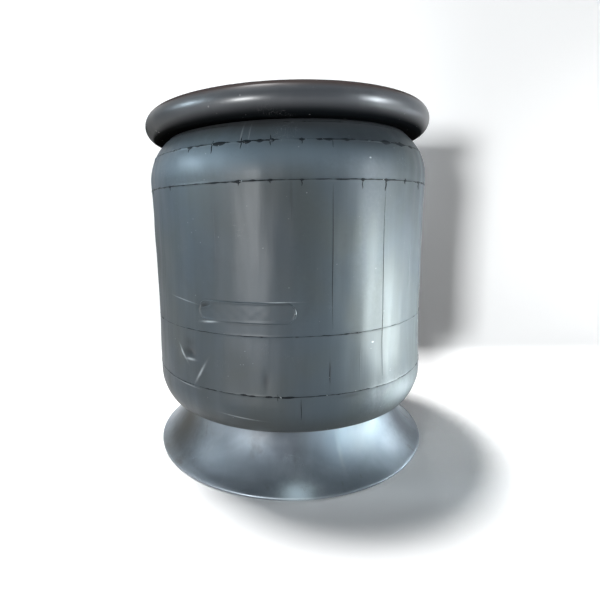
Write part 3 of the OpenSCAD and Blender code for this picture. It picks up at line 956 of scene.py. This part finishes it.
def upper_bead_section():
    """The rubber of the upper bead: it fills the roll and ends in a round nose over the liner."""
    roll = arc(RIM_MID, (BEAD_TOP - BEAD_FLOOR) / 2, -90, 90, 14)
    nose = arc((LIP[0], BEAD_TOP - BEAD_NOSE_R), BEAD_NOSE_R, 90, 270, 10)
    return roll + nose + [(LIP[0] + 1.5 * MM, BEAD_TOP - 2 * BEAD_NOSE_R)]


upper_bead = turned("upper_bead_rubber", upper_bead_section(), LAYER_COLUMNS)
laid(upper_bead, liner_rubber, "sleeve_cover")
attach(upper_bead, "top_plate")

low_nose = (LOW_BEAD_H - SLEEVE_T) / 2
low_section = arc((LOW_BEAD_R, LOW_BEAD_FLOOR + LOW_BEAD_H / 2), LOW_BEAD_H / 2, 90, 270, 14)
low_section += [(LOW_BEAD_OUT_R, LOW_BEAD_FLOOR), (LOW_BEAD_OUT_R, LOW_BEAD_FLOOR + SLEEVE_T)]
low_section += arc((LOW_BEAD_OUT_R, LOW_BEAD_FLOOR + LOW_BEAD_H - low_nose), low_nose, -90, 90, 8)[1:]
lower_bead = turned("lower_bead_rubber", low_section, LAYER_COLUMNS)
laid(lower_bead, liner_rubber, "sleeve_cover")
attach(lower_bead, "piston")


# Torn flash along the mould lines round the sleeve; its two edges are ragged between chance knots
FLASH_COLUMNS = 1440
FLASH_STEPS = (-1, -0.55, 0, 0.55, 1)
FLASH_HALF = 0.30 * MM
FLASH_DEPTH = 0.8 * MM
KNOTS = 240


def flash(name, ring, tears, base, seed):
    """A ragged ribbon round the sleeve: tears are turn, half width in degrees, up and down in millimetres."""
    section = [(float(outside_r(ring)), ring + step * FLASH_HALF) for step in FLASH_STEPS]
    section += [(r - FLASH_DEPTH, z) for r, z in section[::-2]]
    ribbon = turned(name, section, FLASH_COLUMNS)
    turn, z, radius = round_places(ribbon)
    step = (z - ring) / FLASH_HALF
    buried = radius < outside_r(ring) - FLASH_DEPTH / 2
    chance = np.random.default_rng(seed)
    knots = chance.random((2, KNOTS)) * 0.5 + chance.random((2, KNOTS)) ** 5
    at = (turn % 360) / (360 / KNOTS)
    low = at.astype(int) % KNOTS
    share = at - at.astype(int)
    rough = [k[low] * (1 - share) + k[(low + 1) % KNOTS] * share for k in knots]
    up = base * (0.5 + rough[0])
    down = base * (0.5 + rough[1])
    for at_turn, half, high, deep in tears:
        away = np.abs((turn - at_turn + 180) % 360 - 180) / half
        lump = np.clip(1 - away**1.6, 0, 1) * (0.7 + 0.5 * rough[0])
        up = up + high * lump
        down = down + deep * lump
    reach = np.where(step > 0, up, down) * MM
    new_z = ring + step * reach
    lift = (0.12 + 0.2 * np.minimum(up + down, 1.6)) * (1 - step**2) - 0.06
    new_r = face_r(turn, new_z) + np.where(buried, -FLASH_DEPTH, lift * MM)
    set_round(ribbon, turn, new_z, new_r)
    smoothed(ribbon, 60)
    # The ribbon's near-black finish is painted shade along the flash.
    laid(ribbon, mould_line_painted_shade)
    rolls_outside(ribbon)


def scattered(seed, count, around, half, height):
    """Tears at chance places between two turns; half is in degrees, height in millimetres."""
    chance = np.random.default_rng(seed)
    return [
        (around[0] + (around[1] - around[0]) * chance.random(), half * (0.3 + chance.random()),
         height * chance.random(), height * chance.random())
        for _ in range(count)
    ]


# Turns that the photograph doesn't show
HIDDEN = (62, 300)
# Tears in the flash: turn, half width in degrees, up and down in millimetres
SHOULDER_TEARS = [
    (-35.3, 1.5, 0.4, 1.3), (-22.8, 2.8, 0.9, 1.6), (-12.6, 1.5, 0.4, 1.3), (-8.1, 1.2, 0.7, 0.9),
    (-4.4, 0.9, 0.9, 1.3), (5.2, 1, 0.6, 0.8), (11, 1.2, 0.3, 0.5), (14, 1.6, 0.3, 0.6),
    (20.5, 1, 0.5, 0.6), (29.5, 1.6, 0.4, 0.3), (36.5, 3, 0.5, 1), (45, 3.6, 0.6, 1.2),
    (53, 2.4, 0.5, 1.1),
]
WALL_TEARS = [
    (-45.6, 0.9, 0.3, 0.6), (-23.6, 2, 0.2, 0.5), (-15.2, 1, 0.3, 0.9), (-5, 0.9, 0.3, 0.5),
    (4.9, 0.8, 0.3, 0.8), (18, 2.6, 0.2, 0.5), (25.3, 0.7, 0.2, 0.7), (35, 0.8, 0.3, 0.9),
    (45.5, 1, 0.6, 0.5), (56.5, 1.6, 0.2, 0.7),
]
LOBE_TEARS = [
    (-15.6, 1.4, 0.5, 0.4), (-12.4, 1.2, 0.5, 0.5), (-6.6, 1.6, 0.6, 0.5), (-0.6, 2.6, 0.5, 0.7),
    (17, 1, 0.2, 0.4),
]
MIDDLE_TEARS = [(20, 1.2, 0.3, 0.5), (24.6, 1.6, 0.3, 0.6), (-9, 0.8, 0.1, 0.3), (3, 0.7, 0.1, 0.3)]
for name, ring, tears, more, base, seed in [
    ("shoulder_mould_line", 1, SHOULDER_TEARS, (3, 26, HIDDEN, 1.8, 0.9), 0.58, 11),
    ("wall_mould_line", 2, WALL_TEARS, (5, 24, HIDDEN, 1.8, 0.7), 0.50, 12),
    ("middle_mould_line", 3, MIDDLE_TEARS, (7, 12, HIDDEN, 1.4, 0.5), 0.40, 13),
    ("lobe_mould_line", 4, LOBE_TEARS, (9, 16, HIDDEN, 1.8, 0.6), 0.46, 14),
    ("rim_mould_line", 0, [], (15, 30, (0, 360), 1.4, 0.3), 0.22, 15),
]:
    flash(name, RINGS[ring][0] * MM, tears + scattered(*more), base, seed)


def rib(turn, low, high, width, proud, rows):
    """An upright ridge on the sleeve's face, narrow at its two ends; all but its turn in millimetres."""
    low, high, width, proud = (size * MM for size in (low, high, width, proud))
    ridge = upright_grid(4, rows, 1)
    places = points_of(ridge)
    along = places[:, 2] + 0.5
    taper = np.clip(np.sin(along * math.pi), 0.02, 1) ** 0.5
    wander = 0.25 * np.sin(along * 9 + turn) * width
    z = low + (high - low) * along
    arc_turn = turn + np.degrees((places[:, 0] * width * taper + wander) / outside_r(z))
    lift = proud * taper * (1 - (2 * places[:, 0]) ** 2) - 0.06 * MM
    set_round(ridge, arc_turn, z, face_r(arc_turn, z) + lift)
    smoothed(ridge, 60)
    modified(ridge, "SOLIDIFY", thickness=0.5 * MM, offset=-1)
    return ridge


# Ticks where the mould's blocks met: turn, low, high, wide and proud in millimetres
TICKS = [
    (-35.4, 236.4, 241, 0.9, 0.3), (-25.3, 233.8, 242.6, 0.9, 0.35), (-14.6, 235, 243.4, 0.8, 0.3),
    (-4.9, 236.4, 243.6, 0.9, 0.35), (5.2, 236.8, 241.4, 0.7, 0.3), (15.3, 234.6, 241, 0.5, 0.25),
    (-15.2, 213.2, 216.8, 0.8, 0.3), (-5, 214, 217, 0.7, 0.3), (4.9, 212, 217, 0.8, 0.3),
    (25.3, 209.8, 216.6, 0.8, 0.3), (35, 208.6, 217.4, 1.4, 0.4), (45.5, 213.6, 218, 1.6, 0.4),
    (56.8, 210.6, 216.4, 1.4, 0.35), (-45.6, 213, 217, 1, 0.3), (-3.7, 72.6, 77.6, 0.7, 0.3),
]
# Upright mould lines: turn, low, high, wide and proud in millimetres
UPRIGHTS = [
    (15, 118, 216, 0.55, 0.22), (35.3, 77, 214, 0.75, 0.28), (14, 83, 99, 0.6, 0.2),
    (4.1, 55, 74.6, 0.6, 0.2),
]
chance = np.random.default_rng(21)
for around in range(65, 300, 10):
    for level, reach in ((240, 4.5), (216, 4.5)):
        if chance.random() < 0.7:
            around_tick = around + chance.random()
            TICKS.append((around_tick, level - reach * chance.random() - 1, level + reach * 0.4, 0.9, 0.3))
    if around % 50 in (5, 35):
        UPRIGHTS.append((around + 0.5, 77.0 + 40 * chance.random(), 216, 0.7, 0.26))
FAINT = [
    (1.5, 184, 215.6, 1, 0.12), (-24.8, 160, 215.6, 0.9, 0.12), (-41, 150, 215.6, 0.9, 0.12),
    (52.8, 131, 183, 1, 0.15), (-15, 236, 251, 0.5, 0.15), (-12.6, 238, 251, 0.4, 0.15),
    (-10.6, 240, 250, 0.4, 0.12), (25.4, 77, 116, 0.8, 0.12), (-55, 77, 215.6, 0.8, 0.15),
]
for name, lines, rows, finish in [
    # The ticks and upright lines wear the same painted shade.
    ("mould_ticks", TICKS, 8, mould_line_painted_shade),
    ("upright_mould_lines", UPRIGHTS, 60, mould_line_painted_shade),
    ("faint_mould_lines", FAINT, 40, cover_rubber),
]:
    marks = joined(name, [rib(*line, rows) for line in lines])
    laid(marks, finish)
    rolls_outside(marks)


# Label pad: a bare raised capsule with a worn rim, torn at its left end
def spread(steps):
    """Places from -1 to 1 that lie closer together towards the two ends."""
    half = [1 - (1 - k / steps) ** 1.7 for k in range(steps + 1)]
    return [-h for h in half[:0:-1]] + half


def bump(x, z, at_x, at_z, wide, tall, lean=0):
    """A soft patch on the pad, 1 at its middle; all its sizes in millimetres."""
    across = x - at_x * MM
    return np.exp(-((across / (wide * MM)) ** 2) - (((z - at_z * MM - across * lean) / (tall * MM)) ** 2))


def past_straight(x):
    """How far a place lies beyond the capsule's straight stretch."""
    return np.maximum(np.abs(x) - (PAD_W / 2 - PAD_H / 2), 0)


def pad_height(x, z):
    """How far the pad stands from the sleeve's face, in metres."""
    depth = PAD_H / 2 - np.hypot(past_straight(x), z)
    edge = np.clip(depth / (0.7 * MM), 0, 1)
    edge = edge * edge * (3 - 2 * edge)
    border = np.exp(-(((depth - 1.1 * MM) / (0.6 * MM)) ** 2))
    worn = 0.5 + 0.5 * np.sin(x * 310 + 0.6) * np.cos(z * 420 + 1)
    height = 0.46 * edge + border * (0.24 + 0.16 * worn)
    height = height + 0.05 * np.sin(x * 640 + 1) * np.sin(z * 900) * edge
    hole = bump(x, z, -29.5, 4.3, 4.2, 1.7, 0.25)
    lug = bump(x, z, -28, -5.9, 4, 0.9)
    return (height - 1.3 * hole + 0.35 * lug) * MM - 0.12 * MM


def label_pad():
    across = spread(44)
    up = spread(12)
    upright_grid(len(across) - 1, len(up) - 1, 2)
    pad = named("label_pad_face")
    places = points_of(pad)
    column = np.rint((places[:, 0] + 1) / 2 * (len(across) - 1)).astype(int)
    row = np.rint((places[:, 2] + 1) / 2 * (len(up) - 1)).astype(int)
    x = np.array(across)[column] * PAD_W / 2
    half = np.sqrt(np.maximum((PAD_H / 2) ** 2 - past_straight(x) ** 2, 0))
    z = np.array(up)[row] * half
    turn = PAD_TURN + np.degrees(x / wall_r(PAD_Z))
    set_round(pad, turn, PAD_Z + z, face_r(turn, PAD_Z + z) + pad_height(x, z))
    smoothed(pad, 60)
    modified(pad, "SOLIDIFY", thickness=1.0 * MM, offset=-1)
    return pad


pad = label_pad()
laid(pad, cover_rubber, "label_pad")
rolls_outside(pad)


# Piston: crown, wall and flared skirt
def skirt_arc(offset, steps):
    """The flare, seen in section, at a distance from the sheet's middle."""
    flare = SKIRT_R - PISTON_R
    drop = SKIRT_H - SHEET_T / 2
    turn = 2 * math.atan(flare / drop)
    bend = drop / math.sin(turn)
    middle = (PISTON_R - SHEET_T / 2 + bend, SKIRT_H)
    return arc(middle, bend + offset, 180, 180 + math.degrees(turn), steps), math.degrees(turn)


def piston_section():
    half = SHEET_T / 2
    outer, turn = skirt_arc(-half, 40)
    inner, _ = skirt_arc(half, 20)
    hem = arc((SKIRT_R - half, half), half, turn, turn - 180, 8)
    crown = arc(CROWN_MID, CROWN_R, 90, 0, 12)
    under = arc(CROWN_MID, CROWN_R - SHEET_T, 0, 90, 8)
    wall = [(PISTON_R, SKIRT_H + (CROWN_MID[1] - SKIRT_H) * k / 12) for k in range(11, 0, -1)]
    hole = [(BOLT_HOLE_R, CROWN_Z), (BOLT_HOLE_R, CROWN_Z - SHEET_T)]
    return hole[:1] + crown + wall + outer + hem[1:-1] + inner[::-1] + under + hole[1:]


skirt = turned("flared_piston", piston_section(), 480)
turn, z, radius = round_places(skirt)
SKIRT_FADE = 30 * MM
SKIRT_WAVES = [(1, 4, 9, 0.2), (0.8, 7, -17, 1.7), (0.6, 13, 24, 3), (0.4, 23, -31, 5)]
skirted = np.clip((SKIRT_H + SKIRT_FADE - z) / SKIRT_FADE, 0, 1) * np.clip((z - 2 * MM) / (5 * MM), 0, 1)
beaten = 0.14 * MM * ripple(turn, z, SKIRT_WAVES)
beaten = beaten - 0.7 * MM * hollow(turn, z, 54, 44 * MM, 3, 6 * MM)
beaten = beaten - 0.5 * MM * hollow(turn, z, 2.5, 9 * MM, 3, 4 * MM)
set_round(skirt, turn, z, radius + beaten * skirted)
smoothed(skirt)
dressed(skirt, piston_coat)
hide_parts("piston_shell")
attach(skirt, "piston")


# Top plate with its rolled rim, pressed channel and stud holes
def plate_section():
    channel_in = CHANNEL_R - CHANNEL_W
    soft = 0.8 * MM
    half_way = 0.3 * MM
    low = -CHANNEL_D
    face = [
        (0, 0), (channel_in - soft, 0), (channel_in + half_way, -half_way),
        (channel_in + CHANNEL_D, low + 0.2 * MM), (channel_in + CHANNEL_D + soft, low),
        (CHANNEL_R - CHANNEL_D - soft, low), (CHANNEL_R - CHANNEL_D, low + 0.2 * MM),
        (CHANNEL_R - half_way, -half_way), (CHANNEL_R + soft, 0),
    ]
    top = [(r, TOP + z) for r, z in face]
    under = [(r, TOP + z - PLATE_T) for r, z in face]
    roll = arc(RIM_MID, ROLL_R, 90, -90, 44)
    lip = arc(LIP, PLATE_T / 2, -90, -270, 10)
    inside = arc(RIM_MID, ROLL_R - PLATE_T, -90, 90, 24)
    return top + roll + lip + inside + under[::-1]


def cut_hole(piece, x, y, radius, low, high):
    """Bores a round hole through a piece."""
    deselect()
    middle = (x, y, (low + high) / 2)
    bpy.ops.mesh.primitive_cylinder_add(vertices=96, radius=radius, depth=high - low, location=middle)
    drill = bpy.context.object
    modified(piece, "BOOLEAN", operation="DIFFERENCE", object=drill, solver="EXACT")
    bpy.data.objects.remove(drill)


plate = turned("rolled_rim_plate", plate_section(), 400, closed=False)
for side, r in ((-1, STUD_R), (1, AIR_STUD_R)):
    cut_hole(plate, side * STUD_X, STUD_BACK, r + STUD_ROOT, TOP - 2 * PLATE_T, TOP + PLATE_T)
bpy.context.view_layer.objects.active = plate
bpy.ops.object.shade_smooth_by_angle(angle=math.radians(35))
dressed(plate, rim_paint)
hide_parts("top_bead_plate")
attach(plate, "top_plate")


# Threads: where they start above the plate, their depth as a share of the pitch, rows of points in one turn
THREAD_START = 1.6 * MM
THREAD_DEPTH = 0.58
ROWS_A_THREAD = 8


def threaded_stud(name, x, r, pitch, bored):
    """A stud with a cut thread over its welded root."""
    floor = TOP - PLATE_T - FLANGE_T
    top = TOP + STUD_LEN
    rows = round((STUD_LEN - STUD_CHAMFER - THREAD_START) / pitch * ROWS_A_THREAD)
    start = TOP + THREAD_START
    thread = [(r, start + (top - STUD_CHAMFER - start) * k / rows) for k in range(rows + 1)]
    neck = r - 0.2 * MM
    section = [(r + STUD_ROOT, floor), (r + STUD_ROOT, TOP), (neck, TOP + 0.3 * MM), (neck, TOP + 1.2 * MM)]
    section += thread + [(r - STUD_CHAMFER, top)]
    if bored:
        section += [(PORT_R + 0.6 * MM, top), (PORT_R, top - 0.8 * MM), (PORT_R, top - PORT_H)]
        section += [(PASSAGE_R, top - PORT_H - 1.2 * MM), (PASSAGE_R, floor)]
        stud = turned(name, section, 80)
    else:
        stud = turned(name, [(0, floor)] + section + [(0, top)], 64, closed=False)
    turn, z, radius = round_places(stud)
    saw = np.abs(((z - start) / pitch - turn / 360) % 1 - 0.5) * 2
    fade = np.clip((z - start) / pitch, 0, 1) * (radius > r - 0.1 * MM) * (z > start)
    set_round(stud, turn, z, radius - THREAD_DEPTH * pitch * saw * fade)
    smoothed(stud, 30)
    only(stud)
    stud.location = (x, STUD_BACK, 0)
    applied()
    return stud


for name, node, side, r, pitch, bored in [
    ("threaded_mounting_stud", "mounting_stud", -1, STUD_R, 1.954 * MM, False),
    ("threaded_air_stud", "air_stud", 1, AIR_STUD_R, 1.5875 * MM, True),
]:
    stud = threaded_stud(name, side * STUD_X, r, pitch, bored)
    dressed(stud, zinc)
    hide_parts(node)
    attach(stud, "top_plate")

# Pieces that keep the shape of the CAD model
for finish, nodes in [
    (zinc, ["piston_bolt", "bolt_washer", "piston_nut", "base_weld_nuts"]),
    (steel, ["stud_weld_flanges", "lower_end_closure", "bumper_plate"]),
    (steel, ["piston_head_disc", "centre_column", "column_gussets"]),
    (bead_steel, ["upper_bead_wire", "lower_bead_wire"]),
    (bumper_rubber, ["closure_seal_ring", "bump_stop"]),
    (piston_coat, ["base_cup"]),
]:
    for node in nodes:
        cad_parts[node].data.materials.clear()
        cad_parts[node].data.materials.append(finish)


# Stage: a pale floor, and a card that sweeps up behind the spring and shows from the front only
CARD_Y = 0.15
CARD_HALF = 0.48
CARD_TOP = 0.50
CARD_LAP = 0.02
SWEEP_R = 0.03
FLOOR_Z = -0.2 * MM
GLOW = 0.15
FLOOR_GLOW = 0.02
GLOW_FADE = (0.1, -0.08)
ROOM = (0.06, 0.065, 0.07)


def seen_ray(place):
    """1 for rays from the camera and for reflections and refractions, 0 for the light on the spring."""
    path = beside(place, "ShaderNodeLightPath").outputs
    seen = sums("MAXIMUM", path["Is Glossy Ray"], path["Is Transmission Ray"])
    return sums("MAXIMUM", seen, path["Is Camera Ray"])


def pale_finish(name):
    """Matt white that glows a little, returned as finish_of does."""
    made, shader, place = finish_of(name)
    seen = seen_ray(place)
    set_all(
        shader,
        Base_Color=mixed(seen, (0.08, 0.08, 0.08), (0.95, 0.95, 0.95)),
        Roughness=0.9,
        Specular_IOR_Level=0,
        Emission_Color=mixed(seen, (0, 0, 0), (1, 1, 1)),
        Emission_Strength=GLOW,
    )
    return made, shader, place


def floor_finish():
    """Pale floor whose own glow fades towards the camera, so that the spring's shadow is deeper there."""
    made, shader, place = pale_finish("pale_floor")
    parts = beside(place, "ShaderNodeSeparateXYZ")
    join(place, parts.inputs[0])
    join(between(parts.outputs["Y"], *GLOW_FADE, GLOW, FLOOR_GLOW), shader["Emission Strength"])
    return made


def card_finish():
    """Pale card that light passes through, and that isn't seen from behind."""
    made = pale_finish("pale_card")[0]
    nodes = made.node_tree.nodes
    mix = nodes.new("ShaderNodeMixShader")
    clear = nodes.new("ShaderNodeBsdfTransparent")
    side = nodes.new("ShaderNodeNewGeometry")
    path = nodes.new("ShaderNodeLightPath")
    hidden = sums("MAXIMUM", side.outputs["Backfacing"], path.outputs["Is Shadow Ray"])
    join(hidden, mix.inputs["Fac"])
    join(nodes["Principled BSDF"].outputs["BSDF"], mix.inputs[1])
    join(clear.outputs["BSDF"], mix.inputs[2])
    join(mix.outputs["Shader"], nodes["Material Output"].inputs["Surface"])
    return made


def stage():
    deselect()
    bpy.ops.mesh.primitive_plane_add(size=5, location=(0, 0, FLOOR_Z))
    floor = named("floor")
    floor.data.materials.append(floor_finish())
    line = [(CARD_Y - SWEEP_R - CARD_LAP, FLOOR_Z + 0.1 * MM)]
    line += arc((CARD_Y - SWEEP_R, FLOOR_Z + SWEEP_R), SWEEP_R, -90, 0, 24)
    line += [(CARD_Y, CARD_TOP)]
    card = drawn("card", [(-CARD_HALF, y, z) for y, z in line])
    edit_all()
    extruded((2 * CARD_HALF, 0, 0))
    close_edit()
    if sum(face.normal.y for face in card.data.polygons) > 0:
        edit_all()
        bpy.ops.mesh.flip_normals()
        close_edit()
    bpy.ops.object.shade_smooth()
    card.data.materials.append(card_finish())


stage()


def lamp(name, place, size, power, colour=(1, 1, 1), aim=(0, 0, 0.14), spread=180):
    """A soft rectangular lamp that looks at a point; a small spread keeps its light off the card."""
    data = bpy.data.lights.new(name, "AREA")
    data.spread = math.radians(spread)
    data.shape = "RECTANGLE"
    data.size = size[0]
    data.size_y = size[1]
    data.energy = power
    data.color = colour
    made = bpy.data.objects.new(name, data)
    bpy.context.scene.collection.objects.link(made)
    made.location = place
    made.rotation_euler = (Vector(aim) - Vector(place)).to_track_quat("-Z", "Y").to_euler()


lamp("key", (-1.48, -2.61, 0.16), (0.5, 0.5), 108, (0.97, 0.99, 1))
lamp("overhead", (-0.36, 0.26, 2.4), (0.3, 0.3), 70)
lamp("card_right", (1.2, -1.5, 0.2), (0.2, 0.2), 0.1, (1, 1, 1), (0.44, 0.15, 0.2), 12)
lamp("right_skirt", (0.6, 0.1, 0.18), (0.1, 0.2), 0.026, (0.86, 0.95, 1), (0.09, -0.06, 0.03), 20)
lamp("right_low", (0.42, -0.15, 0.05), (0.08, 0.12), 0.24, (0.89, 1, 1), (0.05, -0.06, 0.12), 36)
lamp("right_front", (0.6, -0.3, 0.3), (0.06, 0.2), 0.4, (0.86, 0.94, 1), (0.1, -0.08, 0.3), 50)
lamp("right_edge", (0.5, 0.05, 0.12), (0.06, 0.2), 0.06, (0.8, 0.9, 1), (0.1, -0.08, 0.12), 60)
lamp("left_shoulder", (-0.8, -0.25, 0.5), (0.15, 0.15), 0.09, (0.7, 0.88, 1), (-0.06, -0.08, 0.22), 16)
lamp("back", (0, 1.6, 0.4), (0.3, 0.3), 0.5, (1, 1, 1), (0, 0, 0.15), 14)
lamp("left_low", (-0.6, -0.15, 0.35), (0.1, 0.24), 0.02, (0.86, 0.94, 1), (-0.08, -0.07, 0.04), 14)

world = bpy.data.worlds.new("room")
bpy.context.scene.world = world
world.use_nodes = True
sky = world.node_tree.nodes["Background"]
sky.inputs["Color"].default_value = (*ROOM, 1)
sky.inputs["Strength"].default_value = 1

bpy.context.scene.view_settings.view_transform = "Standard"
